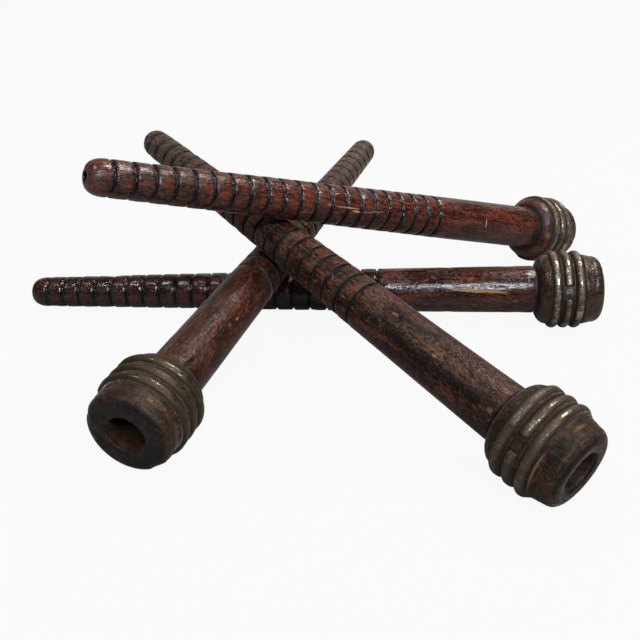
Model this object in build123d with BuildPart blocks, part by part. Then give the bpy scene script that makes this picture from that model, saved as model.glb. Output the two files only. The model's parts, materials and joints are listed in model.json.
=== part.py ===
from build123d import *
import os
from dataclasses import dataclass
from math import cos, radians, sin, sqrt

# Four weft bobbins of turned wood, lying crossed in a loose stack. Each is a tapered
# shank with grooves that hold the yarn, and a thick head with a spindle seat bored in
# its butt. Three split rings of round steel wire sit in grooves round the head.
# Millimetres, +Z up, standing on z = 0 with the middle of the stack over the origin.

os.makedirs("parts", exist_ok=True)

# Length along a bobbin is counted from the tip, and ring places from the butt.
LENGTH = 203.0

# Shank: a slow taper along the grooves, then a slower one to the neck under the head
TIP_RADIUS = 5.25
BARREL_RADIUS = 7.7
NECK_RADIUS = 8.3
HEAD_LENGTH = 21.6
NECK = LENGTH - HEAD_LENGTH
NOSE_LENGTH = 4.0
NOSE_FLAT_RADIUS = 2.8
NOSE_BOW = (0.3, 0.7)

# Yarn grooves
GROOVES = 21
FIRST_GROOVE = 6.4
GROOVE_PITCH = 6.0
GROOVE_WIDTH = 1.3
GROOVE_DEPTH = 0.7
BARREL_END = FIRST_GROOVE + GROOVES * GROOVE_PITCH

# Head
HEAD_RADIUS = 12.2
SHOULDER_LENGTH = 3.7
SHOULDER_BOW = (0.27, 0.66)
COLLAR_END_RADIUS = 11.4
END_ROUND = 2.6

# Split rings, half sunk in the head
WIRE_RADIUS = 1.65
RING_RADIUS = 11.9
RING_PLACES = {"outer": 8.4, "middle": 12.25, "inner": 16.1}
RING_PLAY = 0.03
RING_OPENING = 20.0

# Spindle seat, with a pilot hole drilled on through to the tip
SEAT_RADIUS = 5.6
SEAT_DEPTH = 45.0
SEAT_CHAMFER = 0.5
DRILL_POINT = 3.0
PILOT_RADIUS = 1.4

# Air left between two shanks where one lies on the other
CONTACT_GAP = 0.3

# Slopes that are tried when a bobbin is laid down, in degrees
LEAST_SLOPE = -5.0
GREATEST_SLOPE = 30.0
SLOPE_TOLERANCE = 1e-5


@dataclass
class Bobbin:
    """One bobbin: where its butt lies in plan, which way it points and what it lies on.

    The collar's radius at its end is the one size that differs between bobbins.
    """

    name: str
    butt_x: float
    butt_y: float
    heading: float
    lies_on: str
    openings: dict
    collar_end: float = COLLAR_END_RADIUS
    slope: float = 0.0

    def direction(self):
        """Unit vector along the axis, from the tip to the butt."""
        return Vector(1, 0, 0).rotate(Axis.Y, self.slope).rotate(Axis.Z, self.heading)

    def butt(self):
        """Middle of the butt's end face, at the height that puts a ring on the floor."""
        drop = RING_RADIUS * cos(radians(self.slope)) + WIRE_RADIUS
        height = max(drop - place * sin(radians(self.slope)) for place in RING_PLACES.values())
        return Vector(self.butt_x, self.butt_y, height)

    def tip(self):
        """Middle of the tip's end."""
        return self.butt() - self.direction() * LENGTH

    def axis_line(self):
        """The axis as an edge from the tip to the butt."""
        return Edge.make_line(self.tip(), self.butt())

    def section(self, turn=0.0):
        """Half-plane through the axis: x runs from the tip, y is radial, turned from the top."""
        along = self.direction()
        level = Vector(0, 0, 1).cross(along).normalized()
        radial = along.cross(level).rotate(Axis((0, 0, 0), along), turn)
        return Plane(origin=self.tip(), x_dir=along, z_dir=along.cross(radial))

    def axis(self):
        """The axis that the profiles are turned about."""
        return Axis(self.tip(), self.direction())


def shank_radius(from_tip):
    """Radius of the shank at a distance from the tip."""
    if from_tip < BARREL_END:
        return TIP_RADIUS + (BARREL_RADIUS - TIP_RADIUS) * from_tip / BARREL_END
    share = (from_tip - BARREL_END) / (NECK - BARREL_END)
    return BARREL_RADIUS + (NECK_RADIUS - BARREL_RADIUS) * share


def clearance(bobbin, below):
    """Gap between a bobbin's shank and the shank below it, or between its tip and the floor."""
    if below is None:
        return bobbin.tip().Z - shank_radius(NOSE_LENGTH)
    on_upper, on_lower = bobbin.axis_line().closest_points(below.axis_line())
    upper_radius = shank_radius((on_upper - bobbin.tip()).length)
    lower_radius = shank_radius((on_lower - below.tip()).length)
    apart = (on_upper - on_lower).length
    if on_upper.Z < on_lower.Z:
        apart = -apart
    return apart - upper_radius - lower_radius - CONTACT_GAP


def tilt_to_rest(bobbin, below):
    """Raise the tip until the shank lies on the one below, by halving the interval."""
    lowest, highest = LEAST_SLOPE, GREATEST_SLOPE
    while highest - lowest > SLOPE_TOLERANCE:
        bobbin.slope = (lowest + highest) / 2
        if clearance(bobbin, below) < 0:
            lowest = bobbin.slope
        else:
            highest = bobbin.slope


def bowed_arc(start, end, bow):
    """Arc through a point at the given shares of its length and its rise."""
    along = start[0] + (end[0] - start[0]) * bow[0]
    radius = start[1] + (end[1] - start[1]) * bow[1]
    ThreePointArc(start, (along, radius), end)


def groove_points(place):
    """Three corners of one V-shaped yarn groove."""
    half = GROOVE_WIDTH / 2
    bottom = shank_radius(place) - GROOVE_DEPTH
    return [
        (place - half, shank_radius(place - half)),
        (place, bottom),
        (place + half, shank_radius(place + half)),
    ]


def draw_shank():
    """Outline from the flat of the tip, over the nose and the grooves, to the neck."""
    nose_end = (NOSE_LENGTH, shank_radius(NOSE_LENGTH))
    bowed_arc((0, NOSE_FLAT_RADIUS), nose_end, NOSE_BOW)
    corners = [nose_end]
    for index in range(GROOVES):
        corners += groove_points(FIRST_GROOVE + GROOVE_PITCH * index)
    corners += [(BARREL_END, BARREL_RADIUS), (NECK, NECK_RADIUS)]
    Polyline(*corners)


def draw_head(collar_end):
    """Outline from the neck, over the shoulder and the ring seats, to the rounded end."""
    here = (NECK + SHOULDER_LENGTH, HEAD_RADIUS)
    bowed_arc((NECK, NECK_RADIUS), here, SHOULDER_BOW)

    seat = WIRE_RADIUS + RING_PLAY
    half_seat = sqrt(seat**2 - (HEAD_RADIUS - RING_RADIUS) ** 2)
    for place in sorted(LENGTH - from_butt for from_butt in RING_PLACES.values()):
        seat_start = (place - half_seat, HEAD_RADIUS)
        seat_end = (place + half_seat, HEAD_RADIUS)
        Line(here, seat_start)
        ThreePointArc(seat_start, (place, RING_RADIUS - seat), seat_end)
        here = seat_end

    round_start = (LENGTH - END_ROUND, collar_end)
    round_end = (LENGTH, collar_end - END_ROUND)
    Line(here, round_start)
    RadiusArc(round_start, round_end, END_ROUND)


def draw_bore(collar_end):
    """Outline of the end face, the spindle seat and the pilot hole, back to the tip."""
    Polyline(
        (LENGTH, collar_end - END_ROUND),
        (LENGTH, SEAT_RADIUS + SEAT_CHAMFER),
        (LENGTH - SEAT_CHAMFER, SEAT_RADIUS),
        (LENGTH - SEAT_DEPTH, SEAT_RADIUS),
        (LENGTH - SEAT_DEPTH - DRILL_POINT, PILOT_RADIUS),
        (0, PILOT_RADIUS),
        (0, NOSE_FLAT_RADIUS),
    )


def make_wood(bobbin):
    """The turned wooden body, in place."""
    with BuildPart() as wood:
        with BuildSketch(bobbin.section()):
            with BuildLine():
                draw_shank()
                draw_head(bobbin.collar_end)
                draw_bore(bobbin.collar_end)
            make_face()
        revolve(axis=bobbin.axis())
    wood.part.label = f"{bobbin.name}_wood"
    export_step(wood.part, f"parts/{wood.part.label}.step")


def make_ring(bobbin, place_name):
    """One split wire ring, in place. Its opening is centred on an angle from the top."""
    start = bobbin.openings[place_name] + RING_OPENING / 2
    with BuildPart() as ring:
        with BuildSketch(bobbin.section(turn=start)):
            with Locations((LENGTH - RING_PLACES[place_name], RING_RADIUS)):
                Circle(WIRE_RADIUS)
        revolve(axis=bobbin.axis(), revolution_arc=360 - RING_OPENING)
    ring.part.label = f"{bobbin.name}_ring_{place_name}"
    export_step(ring.part, f"parts/{ring.part.label}.step")


# The stack, from the floor up. Each bobbin lies on the one named before it.
STACK = [
    Bobbin("base_bobbin", 96.6, -1.7, -4.2, "", {"outer": 200, "middle": 71, "inner": 310}),
    Bobbin("left_bobbin", -47.4, -85.9, -109.4, "base_bobbin",
           {"outer": 75, "middle": 185, "inner": 120}, collar_end=12.1),
    Bobbin("right_bobbin", 62.7, -98.6, -49.5, "left_bobbin",
           {"outer": 190, "middle": 64, "inner": 265}),
    Bobbin("top_bobbin", 100.0, 64.0, 33.7, "right_bobbin",
           {"outer": 300, "middle": 240, "inner": 200}),
]

by_name = {bobbin.name: bobbin for bobbin in STACK}
for bobbin in STACK:
    tilt_to_rest(bobbin, by_name.get(bobbin.lies_on))
    make_wood(bobbin)
    for place_name in RING_PLACES:
        make_ring(bobbin, place_name)
    print(f"{bobbin.name}: tip raised {bobbin.slope:.3f} degrees, butt {bobbin.butt()},"
          f" direction {bobbin.direction()}")
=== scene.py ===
"""A crossed stack of turned wooden loom bobbins with split steel rings.

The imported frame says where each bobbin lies: the spindle seat in its butt gives the end
of the wood and the axis. The wood and the rings of a bobbin are turned about that axis,
worn a little, dressed and put in place of the plain nodes.
"""

from __future__ import annotations

import json
import logging
import math
from collections.abc import Callable
from dataclasses import dataclass, field
from enum import Enum

import bmesh
import bpy
from mathutils import Matrix, Vector, noise


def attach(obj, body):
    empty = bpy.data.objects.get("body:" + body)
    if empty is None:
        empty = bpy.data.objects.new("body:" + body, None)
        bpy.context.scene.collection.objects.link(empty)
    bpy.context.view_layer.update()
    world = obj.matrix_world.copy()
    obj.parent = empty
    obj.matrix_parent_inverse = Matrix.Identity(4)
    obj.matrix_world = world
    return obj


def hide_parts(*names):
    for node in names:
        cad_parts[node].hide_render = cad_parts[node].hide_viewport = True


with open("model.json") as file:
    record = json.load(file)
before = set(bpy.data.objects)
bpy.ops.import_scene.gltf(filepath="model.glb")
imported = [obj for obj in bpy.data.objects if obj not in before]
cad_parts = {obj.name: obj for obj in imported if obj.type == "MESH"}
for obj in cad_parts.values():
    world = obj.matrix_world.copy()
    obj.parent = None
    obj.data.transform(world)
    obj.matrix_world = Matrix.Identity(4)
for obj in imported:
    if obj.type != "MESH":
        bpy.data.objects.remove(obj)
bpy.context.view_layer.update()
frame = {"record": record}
LOG = logging.getLogger("bobbins")

MM = 0.001
FULL_TURN = 2 * math.pi
WELD = 0.002 * MM
WIRE_SIDES = 22
WIRE_STEPS = 150
Colour = tuple[float, float, float, float]


class RingPlace(Enum):
    """The three rings of a head, with the distance from the butt to each, in metres."""

    OUTER = 8.4 * MM
    MIDDLE = 12.25 * MM
    INNER = 16.1 * MM


# --------------------------------------------------------------------------- sizes


@dataclass(frozen=True)
class BobbinSizes:
    """The sizes of a bobbin, in metres. Places count from the tip."""

    length: float = 203 * MM
    tip_radius: float = 5.25 * MM
    barrel_radius: float = 7.7 * MM
    neck_radius: float = 8.3 * MM
    head_length: float = 21.6 * MM
    nose_flat: float = 2.3 * MM
    nose_length: float = 4.7 * MM
    grooves: int = 21
    first_groove: float = 6.4 * MM
    groove_pitch: float = 6.0 * MM
    groove_width: float = 1.25 * MM
    groove_depth: float = 0.75 * MM
    head_radius: float = 12.15 * MM
    shoulder_length: float = 3.75 * MM
    collar_end_radius: float = 11.5 * MM
    end_round: float = 2.9 * MM
    wire_radius: float = 1.65 * MM
    ring_radius: float = 11.9 * MM
    ring_opening: float = math.radians(20)
    seat_radius: float = 5.6 * MM
    seat_depth: float = 45 * MM
    seat_chamfer: float = 0.5 * MM
    lip: float = 0.7 * MM
    pilot_radius: float = 1.4 * MM
    band_tilt: float = 0.06 * MM
    band_crown: float = 0.05 * MM
    ring_seat_play: float = 0.04 * MM
    ring_end_round: float = 0.45 * MM
    dish: float = 0.10 * MM

    @property
    def neck(self) -> float:
        """Where the shank ends and the head begins."""
        return self.length - self.head_length

    @property
    def barrel_end(self) -> float:
        """Where the grooved stretch ends."""
        return self.first_groove + self.grooves * self.groove_pitch

    def shank_radius(self, along: float) -> float:
        """Radius of the shank.

        Args:
            along: Distance from the tip.

        Returns:
            The radius there, without grooves or crowns.
        """
        if along < self.barrel_end:
            share = along / self.barrel_end
            return self.tip_radius + (self.barrel_radius - self.tip_radius) * share
        share = (along - self.barrel_end) / (self.neck - self.barrel_end)
        return self.barrel_radius + (self.neck_radius - self.barrel_radius) * share


@dataclass(frozen=True)
class Placement:
    """Where one bobbin lies in the stack."""

    tip: Vector
    along: Vector

    @classmethod
    def of(cls, name: str, sizes: BobbinSizes) -> Placement:
        """Read a bobbin's place from its spindle seat.

        Args:
            name: The bobbin's body.
            sizes: The shared sizes.

        Returns:
            The placement, with its axis pointing from the tip to the butt.
        """
        mounts = {mount["name"]: mount for mount in frame["record"]["mounts"]}
        seat = mounts[f"{name}_spindle_seat"]
        along = Vector(seat["axis"]).normalized()
        to_butt = seat["dims"]["length_mm"] * MM / 2 + sizes.seat_chamfer
        butt = Vector(seat["pos_m"]) + along * to_butt
        return cls(tip=butt - along * sizes.length, along=along)

    def matrix(self) -> Matrix:
        """Bobbin to stack: x runs along the axis from the tip, and z points up from it.

        Returns:
            The matrix, in metres.
        """
        across = Vector((0, 0, 1)).cross(self.along).normalized()
        up = self.along.cross(across)
        columns = Matrix((self.along, across, up)).transposed()
        return Matrix.Translation(self.tip) @ columns.to_4x4()


# --------------------------------------------------------------------------- shapes


class Outline:
    """A turner's profile, drawn as points of (distance from the tip, radius)."""

    def __init__(self, along: float, radius: float) -> None:
        """Start the profile at a point."""
        self.points: list[tuple[float, float]] = [(along, radius)]

    def to(self, along: float, radius: float, steps: int = 1) -> None:
        """Draw a straight stretch.

        Args:
            along: Where it ends, from the tip.
            radius: The radius there.
            steps: How many equal parts it is divided into.
        """
        self.bow(along, radius, 0.0, steps)

    def bow(self, along: float, radius: float, rise: float, steps: int) -> None:
        """Draw a stretch that is crowned in its middle.

        Args:
            along: Where it ends, from the tip.
            radius: The radius there.
            rise: How far the middle stands out from the straight line.
            steps: How many equal parts it is divided into.
        """
        from_along, from_radius = self.points[-1]
        for step in range(1, steps + 1):
            share = step / steps
            crown = rise * 4 * share * (1 - share)
            here = from_radius + (radius - from_radius) * share + crown
            self.points.append((from_along + (along - from_along) * share, here))

    def quarter(self, along: float, radius: float, steps: int, outward_first: bool) -> None:
        """Draw a quarter of an ellipse.

        Args:
            along: Where it ends, from the tip.
            radius: The radius there.
            steps: How many parts it is divided into.
            outward_first: Whether it sets off square to the axis instead of along it.
        """
        from_along, from_radius = self.points[-1]
        for step in range(1, steps + 1):
            angle = math.pi / 2 * step / steps
            slow, fast = 1 - math.cos(angle), math.sin(angle)
            x_share, r_share = (slow, fast) if outward_first else (fast, slow)
            self.points.append((
                from_along + (along - from_along) * x_share,
                from_radius + (radius - from_radius) * r_share,
            ))

    def hollow(self, along: float, level: float, radius: float, rim: float, steps: int) -> None:
        """Draw a round-bottomed seat.

        Args:
            along: Middle of the seat, from the tip.
            level: Radius out to the centre of its arc.
            radius: Radius of the arc.
            rim: Radius out to both of its edges.
            steps: How many parts it is divided into.
        """
        sweep = math.acos((level - rim) / radius)
        for step in range(steps + 1):
            angle = sweep * (2 * step / steps - 1)
            self.points.append((along + radius * math.sin(angle), level - radius * math.cos(angle)))

    def spun(self, steps: int) -> bmesh.types.BMesh:
        """Turn the closed profile about the x axis.

        Args:
            steps: How many divisions go round the axis.

        Returns:
            A closed solid with its faces pointing outwards.
        """
        solid = bmesh.new()
        corners = [solid.verts.new((along, 0, radius)) for along, radius in self.points]
        for near, far in zip(corners, corners[1:] + corners[:1]):
            solid.edges.new((near, far))
        bmesh.ops.spin(
            solid, geom=solid.verts[:] + solid.edges[:], cent=(0, 0, 0), axis=(1, 0, 0),
            dvec=(0, 0, 0), angle=FULL_TURN, steps=steps, use_merge=True,
        )
        bmesh.ops.remove_doubles(solid, verts=solid.verts[:], dist=WELD)
        bmesh.ops.recalc_face_normals(solid, faces=solid.faces[:])
        return solid


def turn_of(point: Vector) -> float:
    """Angle of a point round the x axis from the top, in radians."""
    return math.atan2(-point.y, point.z)


def apart(turn: float, other: float) -> float:
    """Smallest angle between two turns, in radians."""
    return abs((turn - other + math.pi) % FULL_TURN - math.pi)


def reshape(solid: bmesh.types.BMesh, offset: Callable[[Vector, float], float]) -> None:
    """Move each vertex towards or away from the x axis.

    Args:
        solid: The mesh to change, in bobbin coordinates.
        offset: Gives the radial move for a vertex and its radius, in metres.
    """
    for vertex in solid.verts:
        radial = Vector((0, vertex.co.y, vertex.co.z))
        radius = radial.length
        vertex.co += radial * (offset(vertex.co, radius) / radius)


def finished_object(name: str, solid: bmesh.types.BMesh, matrix: Matrix) -> bpy.types.Object:
    """Put a finished mesh in the scene, with its place in its mesh.

    Args:
        name: The piece's name.
        solid: Its mesh in bobbin coordinates, which is freed.
        matrix: Bobbin to stack.

    Returns:
        The new object, at the origin.
    """
    bmesh.ops.transform(solid, matrix=matrix, verts=solid.verts[:])
    for face in solid.faces:
        face.smooth = True
    mesh = bpy.data.meshes.new(name)
    solid.to_mesh(mesh)
    solid.free()
    piece = bpy.data.objects.new(name, mesh)
    bpy.context.scene.collection.objects.link(piece)
    return piece


# --------------------------------------------------------------------------- shaders


class NodeBench:
    """Adds and wires the nodes of one tree."""

    def __init__(self, tree: bpy.types.NodeTree) -> None:
        """Work on a node tree."""
        self.tree = tree

    def node(self, kind: str, **settings: object) -> bpy.types.Node:
        """Add a node and set its properties.

        Args:
            kind: Its type.
            settings: Property values by name.

        Returns:
            The node.
        """
        made = self.tree.nodes.new(kind)
        for key, value in settings.items():
            setattr(made, key, value)
        return made

    def feed(self, socket: bpy.types.NodeSocket, value: object) -> None:
        """Link a socket to another, or set its value.

        Args:
            socket: The input.
            value: An output to link, or a value.
        """
        if isinstance(value, bpy.types.NodeSocket):
            self.tree.links.new(value, socket)
        else:
            socket.default_value = value

    def give(self, node: bpy.types.Node, **values: object) -> None:
        """Feed a node's inputs by name, with underscores for spaces."""
        for key, value in values.items():
            self.feed(node.inputs[key.replace("_", " ")], value)

    def math(self, operation: str, *values: object, clamp: bool = False) -> bpy.types.NodeSocket:
        """Add a Math node.

        Args:
            operation: Its operation.
            values: One, two or three numbers or sockets.
            clamp: Whether the result is kept between 0 and 1.

        Returns:
            Its output.
        """
        made = self.node("ShaderNodeMath", operation=operation, use_clamp=clamp)
        for socket, value in zip(made.inputs, values):
            self.feed(socket, value)
        return made.outputs[0]

    def times(self, first: object, second: object) -> bpy.types.NodeSocket:
        """Multiply two numbers or sockets."""
        return self.math("MULTIPLY", first, second)

    def ramp(self, value: object, low: object, high: object) -> bpy.types.NodeSocket:
        """Rise smoothly from 0 at low to 1 at high, or fall where low is the larger.

        Args:
            value: What is followed.
            low: Where the result is 0.
            high: Where the result is 1.

        Returns:
            The result.
        """
        made = self.node("ShaderNodeMapRange", interpolation_type="SMOOTHSTEP")
        self.give(made, Value=value, From_Min=low, From_Max=high)
        return made.outputs["Result"]

    def spread(self, value: object, low: float, high: float) -> bpy.types.NodeSocket:
        """Stretch a value that runs from 0 to 1 over another range."""
        return self.math("MULTIPLY_ADD", value, high - low, low)

    def mix(self, share: object, first: object, second: object) -> bpy.types.NodeSocket:
        """Mix two colours.

        Args:
            share: How much of the second.
            first: The first colour.
            second: The second colour.

        Returns:
            The mixed colour.
        """
        made = self.node("ShaderNodeMix", data_type="RGBA", clamp_factor=True)
        sockets = [s for s in made.inputs if s.enabled]
        for socket, value in zip(sockets, (share, first, second)):
            self.feed(socket, value)
        return next(s for s in made.outputs if s.enabled)

    def stretched(self, vector: object, factors: tuple[float, float, float]) -> bpy.types.NodeSocket:
        """Multiply a vector by a factor on each axis.

        Args:
            vector: The vector.
            factors: The three factors.

        Returns:
            The product.
        """
        made = self.node("ShaderNodeVectorMath", operation="MULTIPLY")
        self.feed(made.inputs[0], vector)
        self.feed(made.inputs[1], factors)
        return made.outputs["Vector"]

    def noise(
        self, vector: object, scale: object, detail: float = 3.0, roughness: float = 0.55,
        distortion: float = 0.0,
    ) -> bpy.types.NodeSocket:
        """Add a noise texture and return its value.

        Args:
            vector: Where it is read.
            scale: Its scale.
            detail: Its number of octaves.
            roughness: The weight of its fine octaves.
            distortion: How far it is warped.

        Returns:
            Its value.
        """
        made = self.node("ShaderNodeTexNoise")
        self.give(made, Vector=vector, Scale=scale, Detail=detail, Roughness=roughness,
                  Distortion=distortion)
        return made.outputs["Fac"]


class Effect(Enum):
    """The shader groups that several finishes use."""

    PLACE = "bobbin place"
    # Yarn grooves made near black with darkened rims: dirt and painted shade.
    GROOVES = "yarn groove dirt"
    GRAIN = "turned grain"
    BLOTCH = "blotchy grime"
    SCRATCH = "fine scratches"
    LATHE = "lathe lines"
    MARK = "single mark"


@dataclass(frozen=True)
class Patches:
    """A pattern of blotches: its scale per mm, its threshold and how broken up it is."""

    scale: float
    low: float
    high: float
    speckle: float
    stretch: tuple[float, float, float] | None = None


STAIN = Patches(0.16, 0.50, 0.64, 0.5, (0.35, 1, 1))
SCUFF = Patches(0.15, 0.46, 0.66, 0.5, (0.6, 1, 1))
SPECKLE = Patches(0.9, 0.60, 0.70, 0.8, (0.6, 1, 1))
PATINA = Patches(0.30, 0.40, 0.49, 0.9)
WORN = Patches(0.50, 0.55, 0.66, 0.5, (1.3, 0.9, 0.9))
FILM = Patches(0.35, 0.38, 0.58, 0.6)
PITS = Patches(1.1, 0.49, 0.59, 0.8)

FLOAT, VECTOR = "NodeSocketFloat", "NodeSocketVector"


class EffectShelf:
    """Builds each shader group once and hands out nodes that use it. Lengths are in mm."""

    def __init__(self) -> None:
        """Build every group."""
        self.groups = {
            Effect.PLACE: self._place(),
            Effect.GROOVES: self._grooves(),
            Effect.GRAIN: self._grain(),
            Effect.BLOTCH: self._blotch(),
            Effect.SCRATCH: self._scratch(),
            Effect.LATHE: self._lathe(),
            Effect.MARK: self._mark(),
        }

    @staticmethod
    def _blank(
        effect: Effect, inputs: dict[str, str], outputs: dict[str, str],
    ) -> tuple[bpy.types.NodeTree, NodeBench, bpy.types.Node, bpy.types.Node]:
        """Start a group with its sockets.

        Args:
            effect: Which group.
            inputs: Socket type by name.
            outputs: Socket type by name.

        Returns:
            The tree, a bench for it, and its input and output nodes.
        """
        tree = bpy.data.node_groups.new(effect.value, "ShaderNodeTree")
        for in_out, sockets in (("INPUT", inputs), ("OUTPUT", outputs)):
            for name, kind in sockets.items():
                tree.interface.new_socket(name=name, in_out=in_out, socket_type=kind)
        bench = NodeBench(tree)
        return tree, bench, bench.node("NodeGroupInput"), bench.node("NodeGroupOutput")

    def _place(self) -> bpy.types.NodeTree:
        """Bobbin coordinates in mm, with the distance from the tip, turn and radius.

        Returns:
            The group.
        """
        tree, bench, given, out = self._blank(
            Effect.PLACE, {"Metres": VECTOR},
            {"Vector": VECTOR, "Along": FLOAT, "Turn": FLOAT, "Radius": FLOAT},
        )
        vector = bench.stretched(given.outputs["Metres"], (1 / MM, 1 / MM, 1 / MM))
        parts = bench.node("ShaderNodeSeparateXYZ")
        bench.feed(parts.inputs[0], vector)
        across, up = parts.outputs["Y"], parts.outputs["Z"]
        turn = bench.math("ARCTAN2", bench.times(across, -1.0), up)
        squares = bench.math("ADD", bench.math("POWER", across, 2.0), bench.math("POWER", up, 2.0))
        bench.give(out, Vector=vector)
        bench.give(out, Along=parts.outputs["X"])
        bench.give(out, Turn=turn)
        bench.give(out, Radius=bench.math("SQRT", squares))
        return tree

    def _grooves(self) -> bpy.types.NodeTree:
        """A mask that is 1 in the yarn grooves, with a soft edge round them, where dirt and painted shade
        are laid.

        Returns:
            The group.
        """
        tree, bench, given, out = self._blank(
            Effect.GROOVES,
            {"Vector": VECTOR, "Along": FLOAT, "First": FLOAT, "Pitch": FLOAT, "Last": FLOAT,
             "Half Width": FLOAT, "Soft Edge": FLOAT},
            {"Groove": FLOAT, "Edge": FLOAT},
        )
        wander = bench.noise(given.outputs["Vector"], 0.5, detail=4.0)
        along = bench.math("MULTIPLY_ADD", wander, 0.5, given.outputs["Along"])
        centred = bench.math("SUBTRACT", along, 0.25)
        from_first = bench.math("SUBTRACT", centred, given.outputs["First"])
        turns = bench.math("DIVIDE", from_first, given.outputs["Pitch"])
        nearest = bench.math("ABSOLUTE", bench.math("SUBTRACT", turns, bench.math("ROUND", turns)))
        distance = bench.times(nearest, given.outputs["Pitch"])
        half = given.outputs["Half Width"]
        outside = bench.math("ADD", half, given.outputs["Soft Edge"])
        before = bench.math("GREATER_THAN", from_first, -2.0)
        past = bench.math("ADD", given.outputs["Last"], 2.0)
        after = bench.math("LESS_THAN", given.outputs["Along"], past)
        grooved = bench.times(before, after)
        core = bench.ramp(distance, half, bench.times(half, 0.6))
        core = bench.times(core, grooved)
        edge = bench.times(bench.ramp(distance, outside, half), grooved)
        bench.give(out, Groove=core)
        bench.give(out, Edge=edge)
        return tree

    def _grain(self) -> bpy.types.NodeTree:
        """Streaks, broad figure, fine mottle and short dark pores that run along the axis.

        Returns:
            The group.
        """
        tree, bench, given, out = self._blank(
            Effect.GRAIN, {"Vector": VECTOR},
            {"Tone": FLOAT, "Streak": FLOAT, "Mottle": FLOAT, "Pore": FLOAT},
        )
        vector = given.outputs["Vector"]
        streak = bench.noise(bench.stretched(vector, (0.11, 1.7, 1.7)), 1.0, 5.0, 0.65, 0.4)
        figure = bench.noise(bench.stretched(vector, (0.04, 0.20, 0.20)), 1.0, 3.0, 0.5, 1.2)
        mottle = bench.noise(bench.stretched(vector, (0.6, 1.4, 1.4)), 1.0, 4.0, 0.75, 0.2)
        pore = bench.noise(bench.stretched(vector, (0.6, 3.0, 3.0)), 1.0, 2.0, 0.6)
        streak, figure = bench.ramp(streak, 0.36, 0.64), bench.ramp(figure, 0.36, 0.64)
        mottle = bench.ramp(mottle, 0.39, 0.61)
        tone = bench.math("MULTIPLY_ADD", streak, 0.30, bench.times(figure, 0.24))
        bench.give(out, Tone=bench.math("MULTIPLY_ADD", mottle, 0.46, tone))
        bench.give(out, Streak=streak)
        bench.give(out, Mottle=mottle)
        bench.give(out, Pore=bench.ramp(pore, 0.55, 0.64))
        return tree

    def _blotch(self) -> bpy.types.NodeTree:
        """A patchy mask: broad patches broken up by fine speckles.

        Returns:
            The group.
        """
        tree, bench, given, out = self._blank(
            Effect.BLOTCH,
            {"Vector": VECTOR, "Scale": FLOAT, "Low": FLOAT, "High": FLOAT, "Speckle": FLOAT},
            {"Mask": FLOAT},
        )
        broad = bench.noise(given.outputs["Vector"], given.outputs["Scale"], 6.0, 0.6, 0.3)
        fine = bench.noise(given.outputs["Vector"], 1.9, 3.0, 0.7)
        broken = bench.math("SUBTRACT", fine, 0.5)
        both = bench.math("MULTIPLY_ADD", broken, given.outputs["Speckle"], broad)
        bench.give(out, Mask=bench.ramp(both, given.outputs["Low"], given.outputs["High"]))
        return tree

    def _scratch(self) -> bpy.types.NodeTree:
        """Thin broken lines, mostly along the axis.

        Returns:
            The group.
        """
        tree, bench, given, out = self._blank(
            Effect.SCRATCH, {"Vector": VECTOR, "Threshold": FLOAT}, {"Mask": FLOAT},
        )
        vector, threshold = given.outputs["Vector"], given.outputs["Threshold"]
        bent = bench.noise(bench.stretched(vector, (0.14, 2.1, 2.1)), 1.0, 1.0, 0.4, 0.9)
        breaks = bench.noise(vector, 0.23, 2.0)
        line = bench.math("ABSOLUTE", bench.math("SUBTRACT", bent, 0.5))
        thin = bench.ramp(line, 0.010, 0.002)
        kept = bench.ramp(breaks, threshold, bench.math("ADD", threshold, 0.05))
        bench.give(out, Mask=bench.times(thin, kept))
        return tree

    def _lathe(self) -> bpy.types.NodeTree:
        """Broken lines round the axis, left by the turning tool.

        Returns:
            The group.
        """
        tree, bench, given, out = self._blank(Effect.LATHE, {"Vector": VECTOR}, {"Mask": FLOAT})
        rings = bench.noise(bench.stretched(given.outputs["Vector"], (1.7, 0.05, 0.05)), 1.0, 4.0, 0.7)
        breaks = bench.noise(given.outputs["Vector"], 0.30, 4.0, 0.65)
        line = bench.ramp(bench.math("ABSOLUTE", bench.math("SUBTRACT", rings, 0.5)), 0.035, 0.008)
        bench.give(out, Mask=bench.times(line, bench.ramp(breaks, 0.42, 0.60)))
        return tree

    def _mark(self) -> bpy.types.NodeTree:
        """One lens-shaped mark with a ragged edge, at a place on the turned surface.

        Returns:
            The group.
        """
        tree, bench, given, out = self._blank(
            Effect.MARK,
            {"Vector": VECTOR, "Along": FLOAT, "Turn": FLOAT, "Radius": FLOAT,
             "At Along": FLOAT, "At Turn": FLOAT, "Lean": FLOAT,
             "Half Length": FLOAT, "Half Width": FLOAT, "Ragged": FLOAT},
            {"Mask": FLOAT},
        )
        run = bench.math("SUBTRACT", given.outputs["Along"], given.outputs["At Along"])
        swing = bench.math("SUBTRACT", given.outputs["Turn"], given.outputs["At Turn"])
        swing = bench.math("WRAP", swing, math.pi, -math.pi)
        round_way = bench.times(swing, given.outputs["Radius"])
        round_way = bench.math("SUBTRACT", round_way, bench.times(run, given.outputs["Lean"]))
        across = bench.math("DIVIDE", round_way, given.outputs["Half Width"])
        down = bench.math("DIVIDE", run, given.outputs["Half Length"])
        size = bench.math("SQRT", bench.math(
            "ADD", bench.math("POWER", across, 2.0), bench.math("POWER", down, 2.0)))
        ragged = bench.noise(bench.stretched(given.outputs["Vector"], (1.1, 2.4, 2.4)), 1.0, 4.0, 0.65)
        torn = bench.times(bench.math("SUBTRACT", ragged, 0.5), given.outputs["Ragged"])
        bench.give(out, Mask=bench.ramp(bench.math("ADD", size, torn), 1.05, 0.7))
        return tree

    def use(self, bench: NodeBench, effect: Effect, **values: object) -> bpy.types.Node:
        """Place a group in a material.

        Args:
            bench: The material's bench.
            effect: Which group.
            values: Socket values by name, with underscores for spaces.

        Returns:
            The group node.
        """
        made = bench.node("ShaderNodeGroup", node_tree=self.groups[effect], label=effect.value)
        bench.give(made, **values)
        return made

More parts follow.
